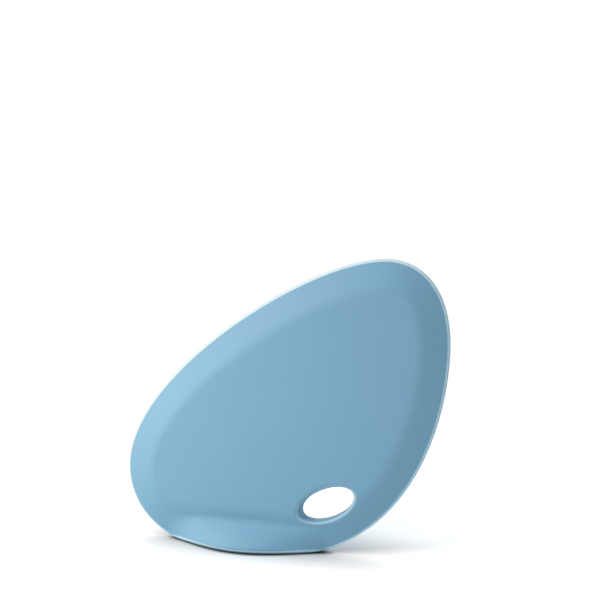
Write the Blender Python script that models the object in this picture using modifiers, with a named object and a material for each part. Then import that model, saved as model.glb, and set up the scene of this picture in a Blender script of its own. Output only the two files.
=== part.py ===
"""Silicone bowl scraper that stands on its own foot.

A thin egg-shaped blade of silicone is moulded over a stiff nylon core. The blade stands on edge in the XZ
plane, its front towards -Y and its back towards +Y. All round, a flexible lip slopes up to a flat panel. At
the bottom the blade is cut flat and flares into a lens-shaped foot, and an oval finger hole goes through the
lower right of the panel.

Units are metres, +Z is up, and the origin lies under the middle of the blade on the surface that it stands on.
"""

import math

import bmesh
import bpy
import numpy as np
from mathutils import Matrix

# Egg outline, seen from the front: four cubic arcs between its outermost points
BLADE_WIDTH = 0.1228
BLADE_HEIGHT = 0.1100
BROW_DROP = 0.0303
BROW_REACH_DOWN = 0.0202
BROW_REACH_UP = 0.0211
CROWN_FROM_BROW = 0.0227
CROWN_REACH_RIGHT = 0.0123
CROWN_REACH_LEFT = 0.0281
HEEL_Z = 0.0264
HEEL_REACH_UP = 0.0354
HEEL_REACH_DOWN = 0.0084
KEEL_X = -0.0156
KEEL_DROP = 0.0047
KEEL_REACH_LEFT = 0.0418
KEEL_REACH_RIGHT = 0.0673

# Section of the blade, from the lip to the panel
LIP_THICKNESS = 0.0018
PANEL_THICKNESS = 0.0072
EDGE_RADIUS = 0.0007
BORDER_WIDTH = 0.0099
SHOULDER_WIDTH = 0.0040

# Foot
FOOT_X = -0.0145
FOOT_LENGTH = 0.0640
FOOT_DEPTH = 0.0242
FOOT_HEIGHT = 0.0100
FOOT_ROUNDING = 0.0018
CREASE_WIDTH = 0.0030
BASE_TURN = 0.0020
PANEL_TURN = 0.0040

# Finger hole
HOLE_ALONG_EDGE = 0.0422
HOLE_FROM_EDGE = 0.0156
HOLE_LENGTH = 0.0222
HOLE_HEIGHT = 0.0107
HOLE_TILT = math.radians(26)
HOLE_ROUNDING = 0.0020

# Nylon core inside the silicone
CORE_CLEARANCE = 0.0003
CORE_THICKNESS = 0.0024
CORE_SETBACK = 0.0010
EYELET_THICKNESS = 0.0020
EYELET_WIDTH = 0.0030
HOLE_LINING = 0.0020
KEY_RADIUS = 0.0022
KEY_SETBACK = 0.0035
KEY_COUNT = 17
STEM_WIDTH = 0.0300
STEM_THICKNESS = 0.0030
STEM_OVERLAP = 0.0060
FLANGE_THICKNESS = 0.0024
FLANGE_SETBACK = 0.0120
SOLE_SKIN = 0.0030
FOOT_SKIN = 0.0025

# The two pins that hold the core in the mould leave holes in the sole
PIN_RADIUS = 0.0015
PIN_SPACING = 0.0240

# How far inside its inset a point of a drawn-in egg may lie
INSET_TOLERANCE = 0.0001

# Fineness of the mesh
EGG_POINTS = 128
ARC_STEPS = 400
ROUND_STEPS = 4
OVAL_POINTS = 40
LENS_POINTS = 16
KEY_SIDES = 14

# How far a cutter stands out past what it cuts
OVERCUT = 0.0020

SILICONE = {"name": "light_blue_silicone", "colour": (0.235, 0.430, 0.565, 1), "roughness": 0.55}
NYLON = {"name": "natural_nylon", "colour": (0.720, 0.690, 0.620, 1), "roughness": 0.45}


def clear_scene():
    for item in list(bpy.data.objects):
        bpy.data.objects.remove(item, do_unlink=True)


def new_collection(name):
    collection = bpy.data.collections.new(name)
    bpy.context.scene.collection.children.link(collection)
    return collection


def principled(finish):
    material = bpy.data.materials.new(finish["name"])
    material.use_nodes = True
    shader = material.node_tree.nodes["Principled BSDF"]
    shader.inputs["Base Color"].default_value = finish["colour"]
    shader.inputs["Roughness"].default_value = finish["roughness"]
    shader.inputs["Metallic"].default_value = 0
    material.diffuse_color = finish["colour"]
    return material


# Outlines in the plane of the blade, as (x, z) points


def cubic(start, start_handle, end_handle, end):
    """Points along one cubic arc, without its end."""
    t = np.linspace(0, 1, ARC_STEPS, endpoint=False)[:, None]
    corners = [np.array(point) for point in (start, start_handle, end_handle, end)]
    weights = [(1 - t) ** 3, 3 * (1 - t) ** 2 * t, 3 * (1 - t) * t**2, t**3]
    return sum(weight * corner for weight, corner in zip(weights, corners))


def whole_egg():
    """The blade's edge as if it were not cut flat at the bottom, anticlockwise from the keel."""
    half_width = BLADE_WIDTH / 2
    brow_z = BLADE_HEIGHT - BROW_DROP
    crown_x = half_width - CROWN_FROM_BROW
    keel = (KEEL_X, -KEEL_DROP)
    brow = (half_width, brow_z)
    crown = (crown_x, BLADE_HEIGHT)
    heel = (-half_width, HEEL_Z)
    keel_right = (KEEL_X + KEEL_REACH_RIGHT, -KEEL_DROP)
    keel_left = (KEEL_X - KEEL_REACH_LEFT, -KEEL_DROP)
    brow_under = (half_width, brow_z - BROW_REACH_DOWN)
    brow_over = (half_width, brow_z + BROW_REACH_UP)
    crown_right = (crown_x + CROWN_REACH_RIGHT, BLADE_HEIGHT)
    crown_left = (crown_x - CROWN_REACH_LEFT, BLADE_HEIGHT)
    heel_over = (-half_width, HEEL_Z + HEEL_REACH_UP)
    heel_under = (-half_width, HEEL_Z - HEEL_REACH_DOWN)
    return np.vstack(
        [
            cubic(keel, keel_right, brow_under, brow),
            cubic(brow, brow_over, crown_right, crown),
            cubic(crown, crown_left, heel_over, heel),
            cubic(heel, heel_under, keel_left, keel),
        ]
    )


def evenly_spaced(points, count):
    """The closed loop through the points, walked in count equal steps."""
    closed = np.vstack([points, points[:1]])
    along = np.append(0, np.cumsum(np.linalg.norm(np.diff(closed, axis=0), axis=1)))
    wanted = np.linspace(0, along[-1], count, endpoint=False)
    return np.column_stack([np.interp(wanted, along, closed[:, axis]) for axis in (0, 1)])


def inward(points):
    """The unit direction into an anticlockwise loop, at each of its points."""
    tangent = np.roll(points, -1, axis=0) - np.roll(points, 1, axis=0)
    tangent /= np.linalg.norm(tangent, axis=1)[:, None]
    return np.column_stack([-tangent[:, 1], tangent[:, 0]])


def raised(heights, floor, turn):
    """Heights lifted to the floor where they lie below it, with a rounded turn on either side of it."""
    above = heights - floor
    rounded = floor + (above + turn) ** 2 / (4 * turn)
    return np.where(above >= turn, heights, np.where(above <= -turn, floor, rounded))


def beside_edge(along, inset):
    """The point that lies at a distance along the whole egg from its keel, and so far in from it."""
    travelled = np.append(0, np.cumsum(np.linalg.norm(np.diff(WHOLE_EGG, axis=0), axis=1)))
    nearest = np.searchsorted(travelled, along)
    return WHOLE_EGG[nearest] + inward(WHOLE_EGG)[nearest] * inset


WHOLE_EGG = whole_egg()
EGG = evenly_spaced(WHOLE_EGG, EGG_POINTS)
EGG_INWARD = inward(EGG)
HOLE_X, HOLE_Z = beside_edge(HOLE_ALONG_EDGE, HOLE_FROM_EDGE)


def drawn_in(inset):
    """The egg drawn in. In a turn too tight for it, the points share out the chord and don't cross."""
    points = EGG + EGG_INWARD * inset
    room = np.linalg.norm(points[:, None] - EGG[None], axis=2).min(axis=1)
    order = np.arange(EGG_POINTS)
    sound = order[room > inset - INSET_TOLERANCE]
    spread = [np.interp(order, sound, points[sound, axis], period=EGG_POINTS) for axis in (0, 1)]
    return np.column_stack(spread)


def oval(growth):
    """The finger hole's oval, grown outwards."""
    turn = np.linspace(0, 2 * math.pi, OVAL_POINTS, endpoint=False)
    along = (HOLE_LENGTH / 2 + growth) * np.cos(turn)
    across = (HOLE_HEIGHT / 2 + growth) * np.sin(turn)
    x = HOLE_X + along * math.cos(HOLE_TILT) - across * math.sin(HOLE_TILT)
    z = HOLE_Z + along * math.sin(HOLE_TILT) + across * math.cos(HOLE_TILT)
    return np.column_stack([x, z])


def outside_oval(points, growth):
    """Whether each point lies outside the finger hole's oval, grown outwards."""
    x = points[:, 0] - HOLE_X
    z = points[:, 1] - HOLE_Z
    along = x * math.cos(HOLE_TILT) + z * math.sin(HOLE_TILT)
    across = z * math.cos(HOLE_TILT) - x * math.sin(HOLE_TILT)
    return (along / (HOLE_LENGTH / 2 + growth)) ** 2 + (across / (HOLE_HEIGHT / 2 + growth)) ** 2 > 1


# Solids


def upright(points, y):
    """An (x, z) outline stood up in the plane y."""
    return np.column_stack([points[:, 0], np.broadcast_to(y, len(points)), points[:, 1]])


def lens(half_length, half_depth, z):
    """A level lens outline over the middle of the foot, seen from above."""
    reach = np.linspace(-1, 1, LENS_POINTS + 1)
    front = np.column_stack([FOOT_X + reach * half_length, -half_depth * (1 - reach**2)])
    back = np.column_stack([front[-2:0:-1, 0], -front[-2:0:-1, 1]])
    outline = np.vstack([front, back])
    return np.column_stack([outline, np.full(len(outline), z)])


def place(name, mesh, collection, material=None):
    item = bpy.data.objects.new(name, mesh)
    collection.objects.link(item)
    if material:
        mesh.materials.append(material)
        mesh.shade_smooth()
        mesh.set_sharp_from_angle(angle=math.radians(35))
    else:
        item.hide_render = True
        item.display_type = "WIRE"
    return item


def loft(name, rings, closed_start=True):
    """A skin of quads over rings with equal counts of points, capped at its ends.

    Each ring runs anticlockwise as seen from the side that the loft ends on, so that the faces point out.
    """
    shape = bmesh.new()
    rows = [[shape.verts.new(point) for point in ring] for ring in rings]
    count = len(rows[0])
    for row, following in zip(rows, rows[1:]):
        for i in range(count):
            after = (i + 1) % count
            shape.faces.new((row[i], row[after], following[after], following[i]))
    shape.faces.new(rows[-1])
    if closed_start:
        shape.faces.new(rows[0][::-1])
    mesh = bpy.data.meshes.new(name)
    shape.to_mesh(mesh)
    shape.free()
    return mesh


def prism(name, outline, thickness):
    """An (x, z) outline as a plate that is centred on the blade's plane."""
    return loft(name, [upright(outline, thickness / 2), upright(outline, -thickness / 2)])


def cylinders(name, centres, radius, length, sides, axis):
    """Equal cylinders along Y or Z, in one mesh."""
    shape = bmesh.new()
    for centre in centres:
        made = bmesh.ops.create_cone(
            shape, cap_ends=True, segments=sides, radius1=radius, radius2=radius, depth=length
        )
        if axis == "Y":
            level = Matrix.Rotation(math.pi / 2, 3, "X")
            bmesh.ops.rotate(shape, verts=made["verts"], matrix=level)
        bmesh.ops.translate(shape, verts=made["verts"], vec=centre)
    mesh = bpy.data.meshes.new(name)
    shape.to_mesh(mesh)
    shape.free()
    return mesh


def combine(item, other, operation):
    modifier = item.modifiers.new(other.name, "BOOLEAN")
    modifier.operation = operation
    modifier.solver = "EXACT"
    modifier.object = other


# The silicone body


LIP_SLOPE = (PANEL_THICKNESS - LIP_THICKNESS) / 2 / (BORDER_WIDTH - EDGE_RADIUS)
CREASE_INSET = BORDER_WIDTH - (SHOULDER_WIDTH + CREASE_WIDTH) / 2
CREASE_HALF_DEPTH = PANEL_THICKNESS / 2 - LIP_SLOPE * (BORDER_WIDTH - CREASE_INSET)
PANEL_EDGE_INSET = BORDER_WIDTH + SHOULDER_WIDTH / 2


def blade_ring(inset, half_depth, floor, turn):
    """One ring of the front half: the egg drawn in, raised to a floor, at a distance from the parting plane."""
    points = drawn_in(inset)
    points[:, 1] = raised(points[:, 1], floor, turn)
    return upright(points, -half_depth)


def rounded_corner(before, corner, after, share_before, share_after):
    """Rings round a corner between three rings, as quadratic arcs that leave each side at its share."""
    start = corner + (before - corner) * share_before
    end = corner + (after - corner) * share_after
    steps = np.linspace(0, 1, ROUND_STEPS + 1)
    return [(1 - t) ** 2 * start + 2 * t * (1 - t) * corner + t**2 * end for t in steps]


def blade_rings():
    """The front half from the parting plane: the edge, the lip or the foot's side, the crease, the shoulder."""
    reach = (EGG[:, 0] - FOOT_X) / (FOOT_LENGTH / 2)
    flare = np.where(EGG[:, 1] < FOOT_HEIGHT, np.clip(1 - reach**2, 0, 1) ** 1.5, 0)
    edge_depth = (LIP_THICKNESS + flare * (FOOT_DEPTH - LIP_THICKNESS)) / 2
    rounding = EDGE_RADIUS + flare * (FOOT_ROUNDING - EDGE_RADIUS)
    rings = [blade_ring(0, np.zeros(EGG_POINTS), 0, BASE_TURN)]
    for angle in np.linspace(0, math.pi / 2, ROUND_STEPS):
        in_from_edge = EDGE_RADIUS * (1 - math.cos(angle))
        over_sole = rounding * (1 - math.cos(angle))
        depth = edge_depth - rounding * (1 - math.sin(angle))
        rings.append(blade_ring(in_from_edge, depth, over_sole, BASE_TURN))
    to_shoulder = FOOT_HEIGHT + (SHOULDER_WIDTH + CREASE_WIDTH) / 2
    to_panel = to_shoulder + SHOULDER_WIDTH / 2
    crease = blade_ring(CREASE_INSET, CREASE_HALF_DEPTH, FOOT_HEIGHT, PANEL_TURN)
    shoulder = blade_ring(BORDER_WIDTH, PANEL_THICKNESS / 2, to_shoulder, PANEL_TURN)
    panel = blade_ring(PANEL_EDGE_INSET, PANEL_THICKNESS / 2, to_panel, PANEL_TURN)
    crease_share = CREASE_WIDTH / (SHOULDER_WIDTH + CREASE_WIDTH)
    up_the_side = CREASE_WIDTH / 2 / (CREASE_INSET - EDGE_RADIUS)
    rings += rounded_corner(rings[-1], crease, shoulder, up_the_side, crease_share)
    rings += rounded_corner(crease, shoulder, panel, 1 - crease_share, 1)
    return rings


def hole_cutter(collection):
    """An oval bar whose ends flare, so that the hole's rims are rounded on both faces."""
    face = PANEL_THICKNESS / 2
    angles = np.linspace(0, math.radians(75), ROUND_STEPS + 1)
    growths = HOLE_ROUNDING * (1 - np.cos(angles))
    depths = face - HOLE_ROUNDING + HOLE_ROUNDING * np.sin(angles)
    past_face = face + OVERCUT
    flare_end = growths[-1] + (past_face - depths[-1]) * math.tan(angles[-1])
    growths = np.append(growths, flare_end)
    depths = np.append(depths, past_face)
    back = [upright(oval(growth), depth) for growth, depth in zip(growths, depths)]
    front = [upright(oval(growth), -depth) for growth, depth in zip(growths, depths)]
    return place("finger_hole", loft("finger_hole", back[::-1] + front), collection)


def silicone_body(parts, cutters, cavity):
    half = loft("silicone_body", blade_rings(), closed_start=False)
    body = place("silicone_body", half, parts, principled(SILICONE))
    mirror = body.modifiers.new("front_and_back", "MIRROR")
    mirror.use_axis = (False, True, False)
    mirror.merge_threshold = 0.00001
    body.modifiers.new("facets", "TRIANGULATE")
    combine(body, hole_cutter(cutters), "DIFFERENCE")
    combine(body, cavity, "DIFFERENCE")
    sides = [FOOT_X - PIN_SPACING / 2, FOOT_X + PIN_SPACING / 2]
    height = SOLE_SKIN + OVERCUT
    centres = [(x, 0, (SOLE_SKIN - OVERCUT) / 2) for x in sides]
    pins = cylinders("pin_holes", centres, PIN_RADIUS, height, KEY_SIDES, "Z")
    combine(body, place("pin_holes", pins, cutters), "DIFFERENCE")
    return body


# The nylon core, and the cavity for it, which is the same shape grown by the clearance


def key_centres():
    """Where the silicone pillars pass through the core, all round the panel but clear of the eyelet."""
    ring = evenly_spaced(drawn_in(PANEL_EDGE_INSET + CORE_SETBACK + KEY_SETBACK), KEY_COUNT)
    clear = HOLE_LINING + EYELET_WIDTH + 2 * KEY_RADIUS
    return [(x, 0, z) for x, z in ring[outside_oval(ring, clear)]]


def flange_half_depth(top):
    """How deep the flange may be at its top, with the foot's skin over it."""
    climb = (top - EDGE_RADIUS) / (FOOT_HEIGHT - EDGE_RADIUS)
    return FOOT_DEPTH / 2 * (1 - climb) + CREASE_HALF_DEPTH * climb - FOOT_SKIN


def core_shape(name, grow, parts, helpers, material=None):
    outline = drawn_in(PANEL_EDGE_INSET + CORE_SETBACK - grow)
    core = place(name, prism(name, outline, CORE_THICKNESS + 2 * grow), parts, material)

    eyelet_outline = oval(HOLE_LINING + EYELET_WIDTH + grow)
    eyelet = prism(name + "_eyelet", eyelet_outline, EYELET_THICKNESS + 2 * grow)
    combine(core, place(name + "_eyelet", eyelet, helpers), "UNION")

    top = SOLE_SKIN + FLANGE_THICKNESS
    half_length = FOOT_LENGTH / 2 - FLANGE_SETBACK + grow
    half_depth = flange_half_depth(top) + grow
    levels = (SOLE_SKIN - grow, top + grow)
    flange = loft(name + "_flange", [lens(half_length, half_depth, z) for z in levels])
    combine(core, place(name + "_flange", flange, helpers), "UNION")

    left = FOOT_X - STEM_WIDTH / 2 - grow
    right = FOOT_X + STEM_WIDTH / 2 + grow
    low = SOLE_SKIN + FLANGE_THICKNESS / 2
    high = outline[:, 1].min() + STEM_OVERLAP
    stem_outline = np.array([(left, low), (right, low), (right, high), (left, high)])
    stem = prism(name + "_stem", stem_outline, STEM_THICKNESS + 2 * grow)
    combine(core, place(name + "_stem", stem, helpers), "UNION")

    deep = PANEL_THICKNESS + OVERCUT
    lining = prism(name + "_hole", oval(HOLE_LINING - grow), deep)
    combine(core, place(name + "_hole", lining, helpers), "DIFFERENCE")
    keys = cylinders(name + "_keys", key_centres(), KEY_RADIUS - grow, deep, KEY_SIDES, "Y")
    combine(core, place(name + "_keys", keys, helpers), "DIFFERENCE")
    return core


def main():
    clear_scene()
    parts = new_collection("bowl_scraper")
    cutters = new_collection("cutters")
    core_shape("nylon_core", 0, parts, cutters, principled(NYLON))
    cavity = core_shape("core_cavity", CORE_CLEARANCE, cutters, cutters)
    silicone_body(parts, cutters, cavity)


main()
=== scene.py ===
"""The looks of a silicone bowl scraper, laid out as a Blender add-on and run as a script.

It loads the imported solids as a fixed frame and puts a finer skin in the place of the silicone
body's solid. Then it gives the nylon core its finish, and sets up a pale studio with the camera in
front and to the right.
"""

import math

import bpy
import numpy as np
from bpy.props import FloatProperty, FloatVectorProperty, PointerProperty
from mathutils import Matrix, Vector


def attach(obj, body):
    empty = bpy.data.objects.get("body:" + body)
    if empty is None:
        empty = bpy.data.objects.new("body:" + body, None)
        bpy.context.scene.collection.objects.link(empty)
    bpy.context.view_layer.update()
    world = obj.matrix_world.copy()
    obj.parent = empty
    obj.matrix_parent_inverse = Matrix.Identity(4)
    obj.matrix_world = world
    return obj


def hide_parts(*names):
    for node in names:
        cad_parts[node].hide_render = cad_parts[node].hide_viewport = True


bl_info = {
    "name": "Bowl Scraper",
    "version": (1, 0, 0),
    "blender": (4, 5, 0),
    "location": "View3D > Sidebar > Bowl Scraper",
    "description": "A silicone bowl scraper that stands on its foot, and a studio to show it in",
    "category": "Object",
}

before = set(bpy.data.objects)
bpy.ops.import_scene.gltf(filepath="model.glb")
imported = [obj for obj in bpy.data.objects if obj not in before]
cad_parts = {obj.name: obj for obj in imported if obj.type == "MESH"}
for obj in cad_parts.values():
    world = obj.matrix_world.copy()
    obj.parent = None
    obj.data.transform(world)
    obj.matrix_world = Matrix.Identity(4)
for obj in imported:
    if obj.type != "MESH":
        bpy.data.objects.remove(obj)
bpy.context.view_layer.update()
BODY = "root"

# Fineness of the silicone's skin: steps of an arc, columns round the edge, and rows of each stretch
ARC_STEPS = 400
COLUMNS = 720
SOLE_ROWS = 6
RIM_ROWS = 10
SIDE_ROWS = 6
CREASE_ROWS = 8
SHOULDER_ROWS = 14
PANEL_ROWS = 12
HOLE_APPROACH_ROWS = 10
FILLET_ROWS = 10
WALL_ROWS = 3
PIN_SIDES = 32

# The part of the skin's grid that the finger hole's own grid takes the place of: from where to where
# along the edge, counted from the keel, and how many of the panel's rows
WINDOW_START = 0.0120
WINDOW_END = 0.0720
WINDOW_PANEL_ROWS = 5

# The power that lets the foot's flare die away softly towards its ends
FLARE_POWER = 1.5

# How far past the shoulder its rows go, before the panel's rows close in
SHOULDER_MARGIN = 0.0010

# Between the crease and the finger hole there is little room: the shares of it that the crease's turn
# and the rim's rounding may take, and how softly both give way to it, as a share of their own size
CREASE_ROOM = 0.4
RIM_ROOM = 0.75
ROOM_EASE = 0.25

# The painted glint on the finger hole's rim, in shares of the rounding's radius: where it is strongest,
# and how wide it is. The last is the share of its strength that it loses there
RIM_GLINT_PLACE = 0.4
RIM_GLINT_SPAN = 0.8
RIM_GLINT_LOSS = 0.5

# Points nearer to the middle plane than this lie on it
PLANE_TOLERANCE = 0.000001

# Edges that turn by more than this are shaded as sharp
SHARP_ANGLE = math.radians(40)


# Sizes and colours


def length(name, description, default):
    """A length in metres, 0 or more."""
    return FloatProperty(
        name=name, description=description, default=default, min=0, subtype="DISTANCE", unit="LENGTH"
    )


def position(name, description, default):
    """A place along an axis in metres, on either side of the origin."""
    return FloatProperty(
        name=name, description=description, default=default, subtype="DISTANCE", unit="LENGTH"
    )


def colour(name, description, default):
    """A colour of three linear parts from 0 to 1."""
    return FloatVectorProperty(
        name=name, description=description, default=default, min=0, max=1, size=3, subtype="COLOR"
    )


def share(name, description, default):
    """A number from 0 to 1."""
    return FloatProperty(
        name=name, description=description, default=default, min=0, max=1, subtype="FACTOR"
    )


def lamp_power(name, description, default):
    """A lamp's power in watts."""
    return FloatProperty(name=name, description=description, default=default, min=0, unit="POWER")


class ScraperSizes(bpy.types.PropertyGroup):
    """The silicone body's sizes, as the solid has them."""

    blade_width: length("Blade width", "Width of the egg-shaped blade", 0.1228)
    blade_height: length("Blade height", "Height of the crown over the sole", 0.1100)
    brow_drop: length("Brow drop", "How far the blade's rightmost point lies under its crown", 0.0303)
    brow_reach_down: length("Brow reach down", "Fullness of the edge under the brow", 0.0202)
    brow_reach_up: length("Brow reach up", "Fullness of the edge over the brow", 0.0211)
    crown_from_brow: length("Crown from brow", "How far the crown lies left of the brow", 0.0227)
    crown_reach_right: length("Crown reach right", "Fullness of the edge right of the crown", 0.0123)
    crown_reach_left: length("Crown reach left", "Fullness of the edge left of the crown", 0.0281)
    heel_z: length("Heel height", "Height of the blade's leftmost point", 0.0264)
    heel_reach_up: length("Heel reach up", "Fullness of the edge over the heel", 0.0354)
    heel_reach_down: length("Heel reach down", "Fullness of the edge under the heel", 0.0084)
    keel_x: position("Keel X", "Where the uncut egg is lowest", -0.0156)
    keel_drop: length("Keel drop", "How far the uncut egg goes below the sole", 0.0047)
    keel_reach_left: length("Keel reach left", "Fullness of the edge left of the keel", 0.0418)
    keel_reach_right: length("Keel reach right", "Fullness of the edge right of the keel", 0.0673)
    lip_thickness: length("Lip thickness", "Thickness of the blade at its edge", 0.0018)
    panel_thickness: length("Panel thickness", "Thickness of the flat panel", 0.0072)
    edge_radius: length("Edge radius", "Rounding along the blade's edge", 0.0007)
    seam_height: length("Seam height", "How far the parting line stands out", 0.00005)
    seam_width: length("Seam width", "Width of the parting line", 0.00024)
    border_width: length("Border width", "From the edge to the middle of the shoulder", 0.0099)
    shoulder_width: length("Shoulder width", "Width of the turn onto the panel", 0.0040)
    foot_x: position("Foot X", "Middle of the foot", -0.0145)
    foot_length: length("Foot length", "Length over which the foot flares", 0.0640)
    foot_depth: length("Foot depth", "Depth of the foot at its middle", 0.0242)
    foot_height: length("Foot height", "Height of the crease over the foot", 0.0100)
    foot_rounding: length("Foot rounding", "Rounding along the foot's base", 0.0018)
    crease_width: length("Crease width", "Width of the turn in the crease", 0.0030)
    base_turn: length("Base turn", "Rounding where the edge meets the sole", 0.0020)
    panel_turn: length("Panel turn", "Rounding where the border meets the foot", 0.0040)
    hole_x: position("Hole X", "Middle of the finger hole", 0.0167)
    hole_z: length("Hole height over the sole", "Middle of the finger hole", 0.0190)
    hole_length: length("Hole length", "The finger hole's long axis", 0.0222)
    hole_height: length("Hole height", "The finger hole's short axis", 0.0107)
    hole_tilt: FloatProperty(
        name="Hole tilt",
        description="How far the finger hole's long axis rises to the right",
        default=math.radians(26),
        subtype="ANGLE",
        unit="ROTATION",
    )
    hole_rounding: length("Hole rounding", "Rounding of the finger hole's rims", 0.0020)
    # Where the painted highlight line lies: its middle's inset from the edge, half its width, and its
    # rise over the foot's base
    glint_inset: length("Glint inset", "From the edge to the middle of the pale line along it", 0.00035)
    glint_width: length("Glint width", "Half the width of the pale line", 0.00070)
    glint_rise: length("Glint rise", "How much higher the line runs over the foot's base", 0.0008)
    pin_radius: length("Pin radius", "Radius of the two pin holes in the sole", 0.0015)
    pin_spacing: length("Pin spacing", "Distance between the two pin holes", 0.0240)
    pin_depth: length("Pin depth", "Depth of the pin holes", 0.0032)


class ScraperFinish(bpy.types.PropertyGroup):
    """Colours and surface of the two materials."""

    silicone: colour("Silicone", "Light blue of the silicone", (0.179, 0.384, 0.544))
    silicone_shade: colour("Silicone shade", "Faint cooler clouding in it", (0.167, 0.370, 0.531))
    # The tone of the painted highlight line along the edge, over the foot's base and round the finger
    # hole
    silicone_glint: colour("Silicone glint", "Pale line along the edge", (0.600, 0.790, 0.880))
    silicone_roughness: share("Silicone roughness", "Satin finish of the mould", 0.60)
    nylon: colour("Nylon", "Natural colour of the nylon", (0.720, 0.690, 0.620))
    nylon_flow: colour("Nylon flow marks", "Tone of its flow marks", (0.655, 0.620, 0.545))
    nylon_roughness: share("Nylon roughness", "Finish of the nylon", 0.42)


class ScraperStudio(bpy.types.PropertyGroup):
    """Floor, background and lamps."""

    floor: colour("Floor", "Pale floor", (0.800, 0.800, 0.800))
    warm: colour("Warm light", "Tint of the lamps on the left", (1.000, 0.950, 0.900))
    cool: colour("Cool light", "Tint of the other lamps and the fill", (0.910, 0.975, 1.000))
    fill: share("Fill", "Level of the light from all round", 0.28)
    key_power: lamp_power("Key power", "Power of the lamp on the left", 0.78)
    key_size: length("Key size", "Side of the lamp on the left", 0.16)
    top_power: lamp_power("Top power", "Power of the lamp above", 2.6)
    top_size: length("Top size", "Side of the lamp above", 0.60)
    edge_power: lamp_power("Edge power", "Power of the lamp behind on the right", 0.22)
    edge_size: length("Edge size", "Side of the lamp behind on the right", 0.20)
    high_gloss: lamp_power("High gloss", "Power of the upper lamp for gloss alone", 1.3)
    low_gloss: lamp_power("Low gloss", "Power of the lower lamp for gloss alone", 0.8)
    gloss_size: length("Gloss size", "Side of the two lamps for gloss alone", 0.20)


# Outlines in the plane of the blade, as (x, z) points


def cubic_arc(corners):
    """A cubic arc without its end: the sum of four corners, each times its Bernstein weight at t."""
    t = np.linspace(0, 1, ARC_STEPS, endpoint=False)[:, None]
    weights = ((1 - t) ** 3, 3 * (1 - t) ** 2 * t, 3 * (1 - t) * t**2, t**3)
    return sum(weight * np.array(corner) for weight, corner in zip(weights, corners))


def whole_egg(sizes):
    """The edge as if it weren't cut flat: four cubic arcs, keel to brow to crown to heel and back."""
    half_width = sizes.blade_width / 2
    brow_z = sizes.blade_height - sizes.brow_drop
    crown_x = half_width - sizes.crown_from_brow
    keel_z = -sizes.keel_drop
    keel = (sizes.keel_x, keel_z)
    brow = (half_width, brow_z)
    crown = (crown_x, sizes.blade_height)
    heel = (-half_width, sizes.heel_z)
    handles = (
        (sizes.keel_x + sizes.keel_reach_right, keel_z),
        (half_width, brow_z - sizes.brow_reach_down),
        (half_width, brow_z + sizes.brow_reach_up),
        (crown_x + sizes.crown_reach_right, sizes.blade_height),
        (crown_x - sizes.crown_reach_left, sizes.blade_height),
        (-half_width, sizes.heel_z + sizes.heel_reach_up),
        (-half_width, sizes.heel_z - sizes.heel_reach_down),
        (sizes.keel_x - sizes.keel_reach_left, keel_z),
    )
    ends = (keel, brow, crown, heel, keel)
    arcs = [(ends[i], handles[2 * i], handles[2 * i + 1], ends[i + 1]) for i in range(4)]
    return np.vstack([cubic_arc(corners) for corners in arcs])


def evenly_spaced(points, count):
    """The closed loop through the points, walked in equal steps along it, and its length."""
    closed = np.vstack([points, points[:1]])
    along = np.append(0, np.cumsum(np.linalg.norm(np.diff(closed, axis=0), axis=1)))
    wanted = np.linspace(0, along[-1], count, endpoint=False)
    return np.column_stack([np.interp(wanted, along, closed[:, axis]) for axis in (0, 1)]), along[-1]


def inward(points):
    """The unit normal into an anticlockwise loop: the chord past each point, turned a quarter left."""
    tangent = np.roll(points, -1, axis=0) - np.roll(points, 1, axis=0)
    tangent /= np.linalg.norm(tangent, axis=1)[:, None]
    return np.column_stack([-tangent[:, 1], tangent[:, 0]])


def larger(first, second, turn):
    """The larger of two values, eased by a parabola where they differ by less than the turn."""
    above = first - second
    rounded = second + (above + turn) ** 2 / (4 * turn)
    return np.where(above >= turn, first, np.where(above <= -turn, second, rounded))


def smaller(first, second, turn):
    """The smaller of two values, eased the same way."""
    return -larger(-first, -second, turn)


def floored(points, floor, turn):
    """The (x, z) points, with z never below the floor and a rounded turn onto it."""
    return np.column_stack([points[:, 0], larger(points[:, 1], floor, turn)])


# Depth of the front face


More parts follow.
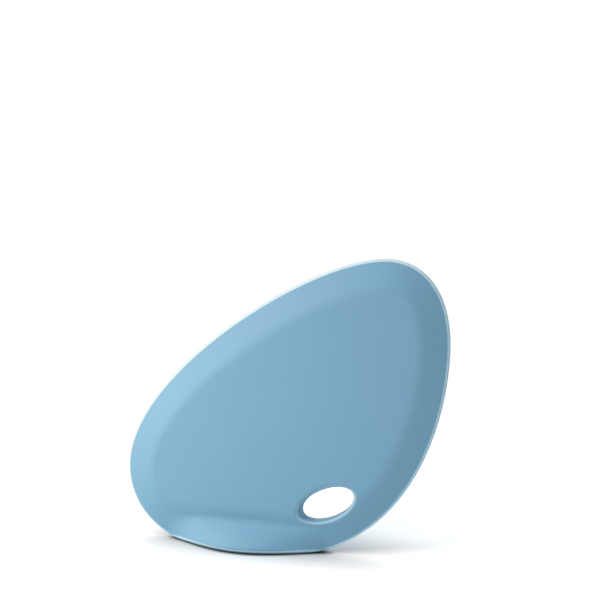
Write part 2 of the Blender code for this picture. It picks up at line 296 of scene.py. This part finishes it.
class Blade:
    """The blade's outline and the depth of its face as a function of place in its plane."""

    def __init__(self, sizes):
        self.sizes = sizes
        self.outline = whole_egg(sizes)
        self.egg, self.perimeter = evenly_spaced(self.outline, COLUMNS)
        self.inward = inward(self.egg)
        rise = (sizes.panel_thickness - sizes.lip_thickness) / 2
        self.slope = rise / (sizes.border_width - sizes.edge_radius)
        self.crease_inset = sizes.border_width - (sizes.shoulder_width + sizes.crease_width) / 2
        drawn_in = self.egg + self.inward * self.crease_inset
        self.crease = floored(drawn_in, sizes.foot_height, sizes.panel_turn)
        self.hole = np.array((sizes.hole_x, sizes.hole_z))
        cosine = math.cos(sizes.hole_tilt)
        sine = math.sin(sizes.hole_tilt)
        self.hole_axes = np.array(((cosine, sine), (-sine, cosine)))

    def edge_distance(self, points):
        """Distance from each (x, z) point to the nearest point of the outline."""
        return np.linalg.norm(points[:, None] - self.outline[None], axis=2).min(axis=1)

    def depth(self, points):
        """Half the blade's thickness at each (x, z) point.

        The inset is the smaller of the distance to the edge and the height over a level that lies the
        crease's inset below the crease, eased together. Further in than the border the face is flat. On
        the border it falls by the slope times what the inset lacks, with a parabola for the shoulder.
        """
        sizes = self.sizes
        over_foot = points[:, 1] - sizes.foot_height + self.crease_inset
        inset = smaller(self.edge_distance(points), over_foot, sizes.panel_turn)
        missing = larger(sizes.border_width - inset, 0, sizes.shoulder_width / 2)
        return sizes.panel_thickness / 2 - self.slope * missing

    def inset(self, row):
        """How far in from the edge the points of a whole row lie, for the glint.

        It is the smaller of their distance in the blade's plane to the edge point of their own column and
        their height over the sole less the glint's rise.
        """
        plane = row[:, [0, 2]]
        from_edge = np.linalg.norm(plane - self.egg, axis=1)
        return np.minimum(from_edge, plane[:, 1] - self.sizes.glint_rise)

    def on_hole(self, towards, growth):
        """Where the rays from the hole's middle through the points cross its oval, grown outwards.

        The ray is taken to the oval's own axes and divided by its length in units of the two half axes.
        """
        half_axes = np.array((self.sizes.hole_length, self.sizes.hole_height)) / 2
        half_axes = half_axes + np.reshape(growth, (-1, 1))
        ray = (towards - self.hole) @ self.hole_axes.T
        reach = np.linalg.norm(ray / half_axes, axis=1)[:, None]
        return self.hole + ray / reach @ self.hole_axes

    def rim_rounding(self, towards):
        """The rounding of the hole's rim on the rays through the points.

        It is the smaller of the rim's own rounding and its share of the distance from the oval to the
        crease, eased together.
        """
        rounding = self.sizes.hole_rounding
        oval = self.on_hole(towards, 0)
        room = np.linalg.norm(oval[:, None] - self.crease[None], axis=2).min(axis=1)
        return smaller(rounding, room * RIM_ROOM, rounding * ROOM_EASE)


def standing(points, depth):
    """(x, z) points stood up as (x, y, z), at the depth in front of the blade's middle plane."""
    return np.column_stack([points[:, 0], np.broadcast_to(-depth, len(points)), points[:, 1]])


# The silicone's skin


def sole_rows(blade, edge_depth, rounding):
    """From the parting line to the rim: the edge's flat, which widens to the sole under the foot.

    The parting line is one row lifted off the edge by the seam's height. The rows after it keep the
    edge's outline, and their depth goes from half the seam's width to where the rim's rounding starts.
    """
    sizes = blade.sizes
    seam = floored(blade.egg - blade.inward * sizes.seam_height, 0, sizes.base_turn)
    edge = floored(blade.egg, 0, sizes.base_turn)
    start = sizes.seam_width / 2
    shares = np.linspace(0, 1, SOLE_ROWS, endpoint=False)
    depths = [start + (edge_depth - rounding - start) * part for part in shares]
    return [standing(seam, np.zeros(COLUMNS))] + [standing(edge, depth) for depth in depths]


def side_rows(blade, edge_depth, radius):
    """The rim's rounding, then the straight side up to the crease.

    In the plane through an edge point and its crease point, square to the blade, the rounding is an arc
    of the given radius that starts along the edge's flat. It turns until its tangent meets the crease
    point: by the angle of the line from its middle to that point, plus the arc sine of the radius over
    that line's length. Straight rows follow.
    """
    sizes = blade.sizes
    edge = floored(blade.egg, 0, sizes.base_turn)
    crease = blade.crease
    across = crease - edge
    width = np.linalg.norm(across, axis=1)
    across /= width[:, None]
    crease_depth = blade.depth(crease)
    in_to_crease = width - radius
    out_to_crease = crease_depth - edge_depth + radius
    distance = np.hypot(in_to_crease, out_to_crease)
    turn = np.arctan2(in_to_crease, out_to_crease) + np.arcsin(radius / distance)

    def row(inset, depth):
        return standing(edge + across * inset[:, None], depth)

    rim = []
    for part in np.linspace(0, 1, RIM_ROWS):
        angle = turn * part
        rim.append(row(radius * (1 - np.cos(angle)), edge_depth - radius * (1 - np.sin(angle))))
    corner = standing(crease, crease_depth)
    straight = np.linalg.norm(corner - rim[-1], axis=1)
    leave = (1 - sizes.crease_width / 2 / straight)[:, None]
    shares = np.linspace(0, 1, SIDE_ROWS + 1)[1:]
    side = [rim[-1] + (corner - rim[-1]) * leave * part for part in shares]
    return rim + side


def face_rows(blade, side_end):
    """From the crease over the shoulder to the middle of the panel.

    The crease is a parabola whose corner is the crease point. Then the rows are the crease's loop drawn
    in by a growing distance until just past the shoulder, with a smaller first step where the finger
    hole is near. After that they close in straight on the panel's middle. Each point's depth is the
    blade's depth there.
    """
    sizes = blade.sizes
    crease = blade.crease
    inwards = inward(crease)
    rim = blade.on_hole(crease, blade.rim_rounding(crease))
    room = np.linalg.norm(rim - crease, axis=1)
    half_turn = sizes.crease_width / 2
    first = smaller(half_turn, room * CREASE_ROOM, half_turn * ROOM_EASE)
    last = sizes.border_width + sizes.shoulder_width / 2 + SHOULDER_MARGIN - blade.crease_inset
    start = crease + inwards * first[:, None]
    start_row = standing(start, blade.depth(start))
    corner = standing(crease, blade.depth(crease))
    t = np.linspace(0, 1, CREASE_ROWS + 1)[1:]
    rows = [(1 - s) ** 2 * side_end + 2 * s * (1 - s) * corner + s**2 * start_row for s in t]
    for part in np.linspace(0, 1, SHOULDER_ROWS + 1)[1:]:
        drawn = crease + inwards * (first + (last - first) * part)[:, None]
        rows.append(standing(drawn, blade.depth(drawn)))
    outer = rows[-1][:, [0, 2]]
    middle = outer.mean(axis=0)
    for part in np.linspace(0, 1, PANEL_ROWS + 1)[1:-1]:
        drawn = outer + (middle - outer) * part
        rows.append(standing(drawn, blade.depth(drawn)))
    return rows, middle


def hole_rows(blade, loop):
    """From a loop round the finger hole to the middle of its wall, each row with its inset.

    The rows close in on the oval grown by the rounding, at the blade's depth. The rounding is a quarter
    circle over the angle from upright to level: the oval is still grown by the radius times 1 less the
    cosine, and the face has dropped by the radius times 1 less the sine. The wall goes straight back,
    and its last row stands out by the seam's height. The insets on the rounding put half of the glint's
    strength at its place there, and none at half its span to either side.
    """
    sizes = blade.sizes
    plane = loop[:, [0, 2]]
    radius = blade.rim_rounding(plane)
    oval = blade.on_hole(plane, radius)
    rows = []
    for part in np.linspace(0, 1, HOLE_APPROACH_ROWS + 1)[1:]:
        drawn = plane + (oval - plane) * part
        rows.append((standing(drawn, blade.depth(drawn)), sizes.border_width))
    for angle in np.linspace(math.pi / 2, 0, FILLET_ROWS + 1)[1:]:
        growth = 1 - math.cos(angle)
        drop = 1 - math.sin(angle)
        drawn = blade.on_hole(plane, radius * growth)
        aside = RIM_GLINT_LOSS + abs(growth - RIM_GLINT_PLACE) / RIM_GLINT_SPAN
        inset = sizes.glint_inset + sizes.glint_width * aside
        rows.append((standing(drawn, blade.depth(drawn) - radius * drop), inset))
    wall = blade.on_hole(plane, 0)
    wall_depth = -rows[-1][0][:, 1]
    seam_edge = sizes.seam_width / 2
    for part in np.linspace(0, 1, WALL_ROWS + 1)[1:]:
        depth = wall_depth + (seam_edge - wall_depth) * part
        rows.append((standing(wall, depth), sizes.border_width))
    seam = standing(blade.on_hole(plane, -sizes.seam_height), np.zeros(len(plane)))
    rows.append((seam, sizes.border_width))
    return rows


def quads(first, second):
    """Faces between two closed rows of vertex numbers."""
    return np.column_stack([first, np.roll(first, -1), np.roll(second, -1), second])


def skin_of_half(blade):
    """The front half: vertices, how far in from the edge they lie, quads and triangles.

    Along the foot the edge's depth and rounding go from the lip's to the foot's by the flare: 1 less the
    square of the distance from the foot's middle over half its length, to a power. The finger hole's
    grid is set into the main one.
    """
    sizes = blade.sizes
    reach = (blade.egg[:, 0] - sizes.foot_x) / (sizes.foot_length / 2)
    low_edge = blade.egg[:, 1] < sizes.foot_height
    flare = np.clip(1 - reach**2, 0, 1) ** FLARE_POWER * low_edge
    edge_depth = (sizes.lip_thickness + flare * (sizes.foot_depth - sizes.lip_thickness)) / 2
    rounding = sizes.edge_radius + flare * (sizes.foot_rounding - sizes.edge_radius)
    rows = sole_rows(blade, edge_depth, rounding) + side_rows(blade, edge_depth, rounding)
    near_edge = np.concatenate([blade.inset(row) for row in rows])
    over_crease, middle = face_rows(blade, rows[-1])
    low = len(rows) + CREASE_ROWS - 1
    high = low + SHOULDER_ROWS + WINDOW_PANEL_ROWS
    rows += over_crease

    column = blade.perimeter / COLUMNS
    left = round(WINDOW_START / column)
    right = round(WINDOW_END / column)
    numbers = np.arange(len(rows) * COLUMNS).reshape(len(rows), COLUMNS)
    faces = [quads(numbers[i], numbers[i + 1]) for i in range(len(rows) - 1)]
    for i in range(low, high):
        faces[i] = np.delete(faces[i], np.arange(left, right), axis=0)
    points = np.vstack(rows)
    insets = np.append(near_edge, np.full(len(points) - len(near_edge), sizes.border_width))

    bottom = numbers[low, left:right]
    rise = numbers[low:high, right]
    top = numbers[high, right:left:-1]
    fall = numbers[high:low:-1, left]
    border = np.concatenate([bottom, rise, top, fall])
    around = hole_rows(blade, points[border])
    following = border
    for row, inset in around:
        added = np.arange(len(points), len(points) + len(row))
        faces.append(quads(following, added))
        points = np.vstack([points, row])
        insets = np.append(insets, np.full(len(row), inset))
        following = added

    pole = len(points)
    points = np.vstack([points, standing(middle[None], blade.depth(middle[None]))])
    last = numbers[-1]
    fan = np.column_stack([last, np.roll(last, -1), np.full(COLUMNS, pole)])
    return points, np.append(insets, sizes.border_width), np.vstack(faces), fan


def silicone_mesh(sizes):
    """The closed skin: the front half and its mirror image in Y, joined where they meet at Y = 0."""
    points, insets, squares, fan = skin_of_half(Blade(sizes))
    count = len(points)
    on_plane = np.abs(points[:, 1]) < PLANE_TOLERANCE
    points[on_plane, 1] = 0
    partner = np.where(on_plane, np.arange(count), np.arange(count) + count)
    points = np.vstack([points, points * (1, -1, 1)])
    squares = np.vstack([squares, partner[squares][:, ::-1]])
    fan = np.vstack([fan, partner[fan][:, ::-1]])
    used, numbers = np.unique(np.concatenate([squares.ravel(), fan.ravel()]), return_inverse=True)
    corners = np.concatenate([np.full(len(squares), 4), np.full(len(fan), 3)])
    mesh = bpy.data.meshes.new("silicone_body")
    mesh.vertices.add(len(used))
    mesh.vertices.foreach_set("co", points[used].astype(np.float32).ravel())
    mesh.loops.add(len(numbers))
    mesh.loops.foreach_set("vertex_index", numbers.astype(np.int32).ravel())
    mesh.polygons.add(len(corners))
    mesh.polygons.foreach_set("loop_start", np.append(0, np.cumsum(corners)[:-1]).astype(np.int32))
    mesh.update(calc_edges=True)
    mesh.validate()
    inset = mesh.attributes.new("inset", "FLOAT", "POINT")
    inset.data.foreach_set("value", np.tile(insets, 2)[used].astype(np.float32))
    return mesh


def pin_mesh(sizes):
    """Two upright drums: circles carried from under the sole to the pins' depth, closed at both ends."""
    angles = np.linspace(0, 2 * math.pi, PIN_SIDES, endpoint=False)
    circle = np.column_stack([np.cos(angles), np.sin(angles)]) * sizes.pin_radius
    points = []
    faces = []
    for side in (-1, 1):
        start = len(points) * PIN_SIDES
        for z in (-sizes.pin_depth, sizes.pin_depth):
            x = sizes.foot_x + side * sizes.pin_spacing / 2
            points.append(np.column_stack([circle + (x, 0), np.full(PIN_SIDES, z)]))
        lower = np.arange(PIN_SIDES) + start
        upper = lower + PIN_SIDES
        faces += quads(lower, upper).tolist() + [lower[::-1].tolist(), upper.tolist()]
    mesh = bpy.data.meshes.new("pins")
    mesh.from_pydata(np.vstack(points).tolist(), [], faces)
    return mesh


def with_pin_holes(mesh, sizes):
    """The skin less the two drums, as a new mesh."""
    scene = bpy.context.scene
    skin = bpy.data.objects.new("skin", mesh)
    pins = bpy.data.objects.new("pins", pin_mesh(sizes))
    scene.collection.objects.link(skin)
    scene.collection.objects.link(pins)
    cut = skin.modifiers.new("pin_holes", "BOOLEAN")
    cut.operation = "DIFFERENCE"
    cut.solver = "EXACT"
    cut.object = pins
    graph = bpy.context.evaluated_depsgraph_get()
    result = bpy.data.meshes.new_from_object(skin.evaluated_get(graph))
    for helper in (skin, pins):
        bpy.data.objects.remove(helper)
    return result


# Materials

# How near another surface has to be for the painted shade that darkens the silicone in its corners and
# near the floor
PAINTED_SHADE_REACH = 0.0022

# The noises, with their scale in cycles per metre, and the bumps they make, with their height in metres
CLOUDS = {"Scale": 28, "Detail": 3}
RIPPLE = {"Scale": 90, "Detail": 1}
GRAIN = {"Scale": 3600, "Detail": 2}
FLOW = {"Scale": 220, "Detail": 4, "Distortion": 1.2}
PEBBLE = {"Scale": 2600, "Detail": 2}
RIPPLE_BUMP = {"Distance": 0.00004, "Strength": 0.25}
GRAIN_BUMP = {"Distance": 0.00001, "Strength": 0.5}
PEBBLE_BUMP = {"Distance": 0.00002, "Strength": 0.4}

# Flow marks are four times as long upright as they are wide
FLOW_AXES = (1.0, 1.0, 0.25)

# How far the roughness goes to either side of its middle
SILICONE_SPREAD = 0.05
NYLON_SPREAD = 0.06

# What is the same all over each surface
SILICONE_SURFACE = {
    "IOR": 1.5,
    "Subsurface Weight": 0.12,
    "Subsurface Radius": (0.6, 0.9, 1.0),
    "Subsurface Scale": 0.0012,
    "Sheen Weight": 0.10,
    "Sheen Roughness": 0.45,
}
NYLON_SURFACE = {
    "IOR": 1.53,
    "Subsurface Weight": 0.15,
    "Subsurface Radius": (1.0, 0.8, 0.5),
    "Subsurface Scale": 0.0010,
}

# The Mix node's sockets for colours
MIX_FIRST = 6
MIX_SECOND = 7
MIX_RESULT = 2


def new_material(name, tint):
    """A material, its node tree and its Principled shader."""
    material = bpy.data.materials.new(name)
    material.use_nodes = True
    material.diffuse_color = (*tint, 1)
    tree = material.node_tree
    return material, tree, tree.nodes["Principled BSDF"]


def set_inputs(node, values):
    """Write each value on the node's socket of its name."""
    for name, value in values.items():
        node.inputs[name].default_value = value


def object_place(tree):
    """The place on the piece, in metres from its origin."""
    return tree.nodes.new("ShaderNodeTexCoord").outputs["Object"]


def noise(tree, place, values):
    """A noise texture over a place."""
    node = tree.nodes.new("ShaderNodeTexNoise")
    set_inputs(node, values)
    tree.links.new(place, node.inputs["Vector"])
    return node.outputs["Fac"]


def bump(tree, height, values, below=None):
    """The normal of a surface raised by the height, on top of the bump below if there is one."""
    node = tree.nodes.new("ShaderNodeBump")
    set_inputs(node, values)
    tree.links.new(height, node.inputs["Height"])
    if below is not None:
        tree.links.new(below, node.inputs["Normal"])
    return node.outputs["Normal"]


def blended(tree, source, first, second):
    """A colour that goes from the first tone to the second with the source.

    Either tone may be three numbers or another node's colour.
    """
    mix = tree.nodes.new("ShaderNodeMix")
    mix.data_type = "RGBA"
    for number, tone in ((MIX_FIRST, first), (MIX_SECOND, second)):
        if isinstance(tone, bpy.types.NodeSocket):
            tree.links.new(tone, mix.inputs[number])
        else:
            mix.inputs[number].default_value = (*tone, 1)
    tree.links.new(source, mix.inputs["Factor"])
    return mix.outputs[MIX_RESULT]


def arithmetic(tree, operation, source, value=0):
    """A Math node of a source and a number or another source."""
    node = tree.nodes.new("ShaderNodeMath")
    node.operation = operation
    tree.links.new(source, node.inputs[0])
    if isinstance(value, bpy.types.NodeSocket):
        tree.links.new(value, node.inputs[1])
    else:
        node.inputs[1].default_value = value
    return node.outputs[0]


def ranged(tree, source, low, high, start=0, end=1, eased=False):
    """A value that goes from low to high while the source goes from start to end, evenly or eased."""
    node = tree.nodes.new("ShaderNodeMapRange")
    if eased:
        node.interpolation_type = "SMOOTHSTEP"
    set_inputs(node, {"From Min": start, "From Max": end, "To Min": low, "To Max": high})
    tree.links.new(source, node.inputs["Value"])
    return node.outputs["Result"]


def occlusion(tree, distance):
    """A node that paints shade into a colour where other surfaces are nearer than the distance."""
    node = tree.nodes.new("ShaderNodeAmbientOcclusion")
    node.inputs["Distance"].default_value = distance
    return node


def glint(tree, sizes):
    """How much of the painted highlight line along the edge and round the finger hole shows.

    It is 1 where the inset attribute is the glint's inset, and eased to 0 at half the line's width.
    """
    inset = tree.nodes.new("ShaderNodeAttribute")
    inset.attribute_name = "inset"
    aside = arithmetic(tree, "SUBTRACT", inset.outputs["Fac"], sizes.glint_inset)
    aside = arithmetic(tree, "ABSOLUTE", aside)
    return ranged(tree, aside, 1, 0, 0, sizes.glint_width, eased=True)


def silicone_material(finish, sizes):
    """Satin moulded silicone: faint clouding in the pigment, fine spark-eroded grain and soft sheen."""
    material, tree, shader = new_material("light_blue_silicone", finish.silicone)
    place = object_place(tree)
    grain = noise(tree, place, GRAIN)
    tone = blended(tree, noise(tree, place, CLOUDS), finish.silicone, finish.silicone_shade)
    # Painted highlight: a paler tone along the edge, over the foot's base and round the finger hole's rim
    tone = blended(tree, glint(tree, sizes), tone, finish.silicone_glint)
    # Painted shade: ambient occlusion darkens the base colour in corners and where the foot nears the
    # floor
    painted_crevice_shade = occlusion(tree, PAINTED_SHADE_REACH)
    tree.links.new(tone, painted_crevice_shade.inputs["Color"])
    tree.links.new(painted_crevice_shade.outputs["Color"], shader.inputs["Base Color"])
    middle = finish.silicone_roughness
    gloss = ranged(tree, grain, middle - SILICONE_SPREAD, middle + SILICONE_SPREAD)
    tree.links.new(gloss, shader.inputs["Roughness"])
    ripple = bump(tree, noise(tree, place, RIPPLE), RIPPLE_BUMP)
    tree.links.new(bump(tree, grain, GRAIN_BUMP, ripple), shader.inputs["Normal"])
    set_inputs(shader, SILICONE_SURFACE)
    return material


def nylon_material(finish):
    """Natural moulded nylon: drawn-out flow marks, a faint waxy depth and a fine pebbled surface."""
    material, tree, shader = new_material("natural_nylon", finish.nylon)
    place = object_place(tree)
    pebble = noise(tree, place, PEBBLE)
    drawn_out = tree.nodes.new("ShaderNodeMapping")
    drawn_out.inputs["Scale"].default_value = FLOW_AXES
    tree.links.new(place, drawn_out.inputs["Vector"])
    flow = noise(tree, drawn_out.outputs["Vector"], FLOW)
    tone = blended(tree, flow, finish.nylon, finish.nylon_flow)
    tree.links.new(tone, shader.inputs["Base Color"])
    middle = finish.nylon_roughness
    gloss = ranged(tree, pebble, middle - NYLON_SPREAD, middle + NYLON_SPREAD)
    tree.links.new(gloss, shader.inputs["Roughness"])
    tree.links.new(bump(tree, pebble, PEBBLE_BUMP), shader.inputs["Normal"])
    set_inputs(shader, NYLON_SURFACE)
    return material


# Studio

WHITE = (1.0, 1.0, 1.0)

# The floor is a disc just under the sole. Its shown colour is over 1, because soft light alone would
# leave it grey
FLOOR_RADIUS = 2.0
FLOOR_SIDES = 96
FLOOR_DROP = 0.00002
FLOOR_SHOWN = (1.50, 1.43, 1.40)

# How far from the middle the floor starts to go over into white, and where it is white
FADE_START = 0.12
FADE_END = 0.30

# The painted soft shade round the object, and the painted contact shadow under the foot: its reach, the
# power it has where it is full, its tone, and the places in X between which it grows
SHADE_REACH = 0.035
CONTACT_REACH = 0.0026
CONTACT_DEPTH = 1.5
CONTACT_SHADOW_TONE = (0.030, 0.110, 0.150)
CONTACT_LEFT_END = -0.048
CONTACT_FULL = -0.014

# Where the lamps stand, and the point that they are aimed at
KEY_PLACE = (-0.24, -0.22, 0.14)
TOP_PLACE = (0.0, 0.0, 0.70)
EDGE_PLACE = (0.30, 0.24, 0.14)
HIGH_GLOSS_PLACE = (-0.32, -0.035, 0.40)
LOW_GLOSS_PLACE = (-0.30, -0.26, 0.05)
AIM = (0.0, 0.0, 0.055)

# The camera: a long lens in front and a little to the right, turned about its own axis by a hair
CAMERA_LENS = 126
CAMERA_SENSOR = 36
CAMERA_AZIMUTH = math.radians(18.17)
CAMERA_ELEVATION = math.radians(10.74)
CAMERA_ROLL = math.radians(0.13)
CAMERA_DISTANCE = 0.7577
CAMERA_TARGET = Vector((0.00437, 0.00400, 0.09256))


def seen_directly(tree):
    """1 for rays from the camera, a mirror or through glass, and 0 for light that lands on things."""
    rays = tree.nodes.new("ShaderNodeLightPath").outputs
    camera_or_mirror = arithmetic(tree, "MAXIMUM", rays["Is Camera Ray"], rays["Is Glossy Ray"])
    return arithmetic(tree, "MAXIMUM", camera_or_mirror, rays["Is Transmission Ray"])


def mixed(tree, amount, first, second):
    """A shader that goes from the first to the second with the amount."""
    node = tree.nodes.new("ShaderNodeMixShader")
    tree.links.new(amount, node.inputs["Fac"])
    tree.links.new(first, node.inputs[1])
    tree.links.new(second, node.inputs[2])
    return node.outputs["Shader"]


def background(tree, tint, strength):
    """The world's light in one tint."""
    node = tree.nodes.new("ShaderNodeBackground")
    set_inputs(node, {"Color": (*tint, 1), "Strength": strength})
    return node.outputs["Background"]


def white_world(fill, tint):
    """A world that looks white and lights the object at the fill's level."""
    world = bpy.data.worlds.new("studio")
    world.use_nodes = True
    tree = world.node_tree
    tree.nodes.clear()
    lighting = background(tree, tint, fill)
    backdrop = background(tree, WHITE, 1)
    output = tree.nodes.new("ShaderNodeOutputWorld")
    surface = mixed(tree, seen_directly(tree), lighting, backdrop)
    tree.links.new(surface, output.inputs["Surface"])
    bpy.context.scene.world = world


def diffuse(tree, tint):
    """A plain matt shader in one tint."""
    node = tree.nodes.new("ShaderNodeBsdfDiffuse")
    node.inputs["Color"].default_value = (*tint, 1)
    return node


def floor_material(tint):
    """A pale floor with the shadow near the object, which goes over into the white world further out.

    The light that it gives back to the object is that of its plain colour. Seen directly, its colour is
    lifted so that it is white where no shadow of the lamps falls, and it has a painted shadow from the
    ambient occlusion under and close to the object. Where the foot touches, a painted contact shadow in
    the blue that the foot would throw on it takes over, with a power of a much closer occlusion, which
    grows from 0 at the foot's left end. Past the end of the fade it glows white.
    """
    material, tree, _ = new_material("floor", tint)
    tree.nodes.clear()
    place = object_place(tree)
    distance = tree.nodes.new("ShaderNodeVectorMath")
    distance.operation = "LENGTH"
    tree.links.new(place, distance.inputs[0])
    fade = ranged(tree, distance.outputs["Value"], 0, 1, FADE_START, FADE_END, eased=True)
    # Painted shadow: ambient occlusion darkens the floor's shown colour near the object
    shade = occlusion(tree, SHADE_REACH)
    shade.inputs["Color"].default_value = (*FLOOR_SHOWN, 1)
    axes = tree.nodes.new("ShaderNodeSeparateXYZ")
    tree.links.new(place, axes.inputs["Vector"])
    # Painted contact shadow under the foot, in a blue tone, growing from the foot's left end
    power = ranged(tree, axes.outputs["X"], 0, CONTACT_DEPTH, CONTACT_LEFT_END, CONTACT_FULL)
    clear = arithmetic(tree, "POWER", occlusion(tree, CONTACT_REACH).outputs["AO"], power)
    shown = diffuse(tree, tint)
    shown_tone = blended(tree, clear, CONTACT_SHADOW_TONE, shade.outputs["Color"])
    tree.links.new(shown_tone, shown.inputs["Color"])
    glow = tree.nodes.new("ShaderNodeEmission")
    seen = mixed(tree, fade, shown.outputs["BSDF"], glow.outputs["Emission"])
    surface = mixed(tree, seen_directly(tree), diffuse(tree, tint).outputs["BSDF"], seen)
    output = tree.nodes.new("ShaderNodeOutputMaterial")
    tree.links.new(surface, output.inputs["Surface"])
    return material


def floor_mesh():
    """A level disc just under the sole: a circle of points and one face."""
    angles = np.linspace(0, 2 * math.pi, FLOOR_SIDES, endpoint=False)
    level = np.full(FLOOR_SIDES, -FLOOR_DROP)
    points = np.column_stack([FLOOR_RADIUS * np.cos(angles), FLOOR_RADIUS * np.sin(angles), level])
    mesh = bpy.data.meshes.new("floor")
    mesh.from_pydata(points.tolist(), [], [list(range(FLOOR_SIDES))])
    return mesh


def lamp(name, place, size, power, tint):
    """A square lamp aimed at the object."""
    data = bpy.data.lights.new(name, "AREA")
    data.shape = "SQUARE"
    data.size = size
    data.energy = power
    data.color = tint
    item = bpy.data.objects.new(name, data)
    item.location = place
    item.rotation_euler = (Vector(AIM) - Vector(place)).to_track_quat("-Z", "Y").to_euler()
    bpy.context.scene.collection.objects.link(item)
    return item


def add_camera():
    """The camera at its distance from the target, looking along its azimuth and elevation.

    Its back is the unit vector of the two angles, its right is level, and its up is square to both. The
    right and the up are then turned about the back by the roll.
    """
    level = math.cos(CAMERA_ELEVATION)
    back = Vector(
        (
            math.sin(CAMERA_AZIMUTH) * level,
            -math.cos(CAMERA_AZIMUTH) * level,
            math.sin(CAMERA_ELEVATION),
        )
    )
    right = Vector((math.cos(CAMERA_AZIMUTH), math.sin(CAMERA_AZIMUTH), 0))
    up = back.cross(right)
    rolled_right = math.cos(CAMERA_ROLL) * right + math.sin(CAMERA_ROLL) * up
    rolled_up = -math.sin(CAMERA_ROLL) * right + math.cos(CAMERA_ROLL) * up
    matrix = Matrix((rolled_right, rolled_up, back)).transposed().to_4x4()
    matrix.translation = CAMERA_TARGET + CAMERA_DISTANCE * back
    data = bpy.data.cameras.new("camera")
    data.lens = CAMERA_LENS
    data.sensor_width = CAMERA_SENSOR
    item = bpy.data.objects.new("camera", data)
    bpy.context.scene.collection.objects.link(item)
    item.matrix_world = matrix
    bpy.context.scene.camera = item


# Operators


class BowlScraperSiliconeBody(bpy.types.Operator):
    """Make the silicone body's skin and put it in the place of its solid"""

    bl_idname = "bowl_scraper.silicone_body"
    bl_label = "Silicone Body"

    def execute(self, context):
        sizes = context.scene.scraper_sizes
        mesh = with_pin_holes(silicone_mesh(sizes), sizes)
        mesh.name = "silicone_body_skin"
        mesh.materials.clear()
        mesh.materials.append(silicone_material(context.scene.scraper_finish, sizes))
        mesh.shade_smooth()
        mesh.set_sharp_from_angle(angle=SHARP_ANGLE)
        item = bpy.data.objects.new("silicone_body_skin", mesh)
        context.scene.collection.objects.link(item)
        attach(item, BODY)
        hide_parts("silicone_body")
        return {"FINISHED"}


class BowlScraperNylonCore(bpy.types.Operator):
    """Give the nylon core its finish"""

    bl_idname = "bowl_scraper.nylon_core"
    bl_label = "Nylon Core"

    def execute(self, context):
        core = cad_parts["nylon_core"]
        material = nylon_material(context.scene.scraper_finish)
        for slot in core.material_slots:
            slot.material = material
        return {"FINISHED"}


class BowlScraperStudio(bpy.types.Operator):
    """Set up the pale floor, the soft light and the camera"""

    bl_idname = "bowl_scraper.studio"
    bl_label = "Studio"

    def execute(self, context):
        studio = context.scene.scraper_studio
        ground = bpy.data.objects.new("floor", floor_mesh())
        ground.data.materials.append(floor_material(studio.floor))
        context.scene.collection.objects.link(ground)
        white_world(studio.fill, studio.cool)
        lamp("key", KEY_PLACE, studio.key_size, studio.key_power, studio.warm)
        lamp("top", TOP_PLACE, studio.top_size, studio.top_power, studio.cool)
        lamp("edge", EDGE_PLACE, studio.edge_size, studio.edge_power, studio.cool)
        for name, place, power in (
            ("high_gloss", HIGH_GLOSS_PLACE, studio.high_gloss),
            ("low_gloss", LOW_GLOSS_PLACE, studio.low_gloss),
        ):
            item = lamp(name, place, studio.gloss_size, power, studio.warm)
            item.visible_diffuse = False
        add_camera()
        context.scene.view_settings.view_transform = "Standard"
        return {"FINISHED"}


class BowlScraperPanel(bpy.types.Panel):
    """Sizes, finish and studio of the bowl scraper"""

    bl_idname = "VIEW3D_PT_bowl_scraper"
    bl_label = "Bowl Scraper"
    bl_space_type = "VIEW_3D"
    bl_region_type = "UI"
    bl_category = "Bowl Scraper"

    def draw(self, context):
        layout = self.layout
        for group in GROUPS:
            box = layout.box()
            values = getattr(context.scene, group)
            for name in values.bl_rna.properties.keys():
                if name not in {"rna_type", "name"}:
                    box.prop(values, name)
        for operator in OPERATORS:
            layout.operator(operator.bl_idname)


GROUPS = {
    "scraper_sizes": ScraperSizes,
    "scraper_finish": ScraperFinish,
    "scraper_studio": ScraperStudio,
}
OPERATORS = (BowlScraperSiliconeBody, BowlScraperNylonCore, BowlScraperStudio)


def register():
    """Register the groups, the operators and the panel, and hang the groups on the scene."""
    for name, group in GROUPS.items():
        bpy.utils.register_class(group)
        setattr(bpy.types.Scene, name, PointerProperty(type=group))
    for item in (*OPERATORS, BowlScraperPanel):
        bpy.utils.register_class(item)


def unregister():
    """Undo what register does, in the opposite order."""
    for item in (BowlScraperPanel, *reversed(OPERATORS)):
        bpy.utils.unregister_class(item)
    for name, group in reversed(GROUPS.items()):
        delattr(bpy.types.Scene, name)
        bpy.utils.unregister_class(group)


def main():
    register()
    bpy.ops.bowl_scraper.silicone_body()
    bpy.ops.bowl_scraper.nylon_core()
    bpy.ops.bowl_scraper.studio()


if __name__ == "__main__":
    main()
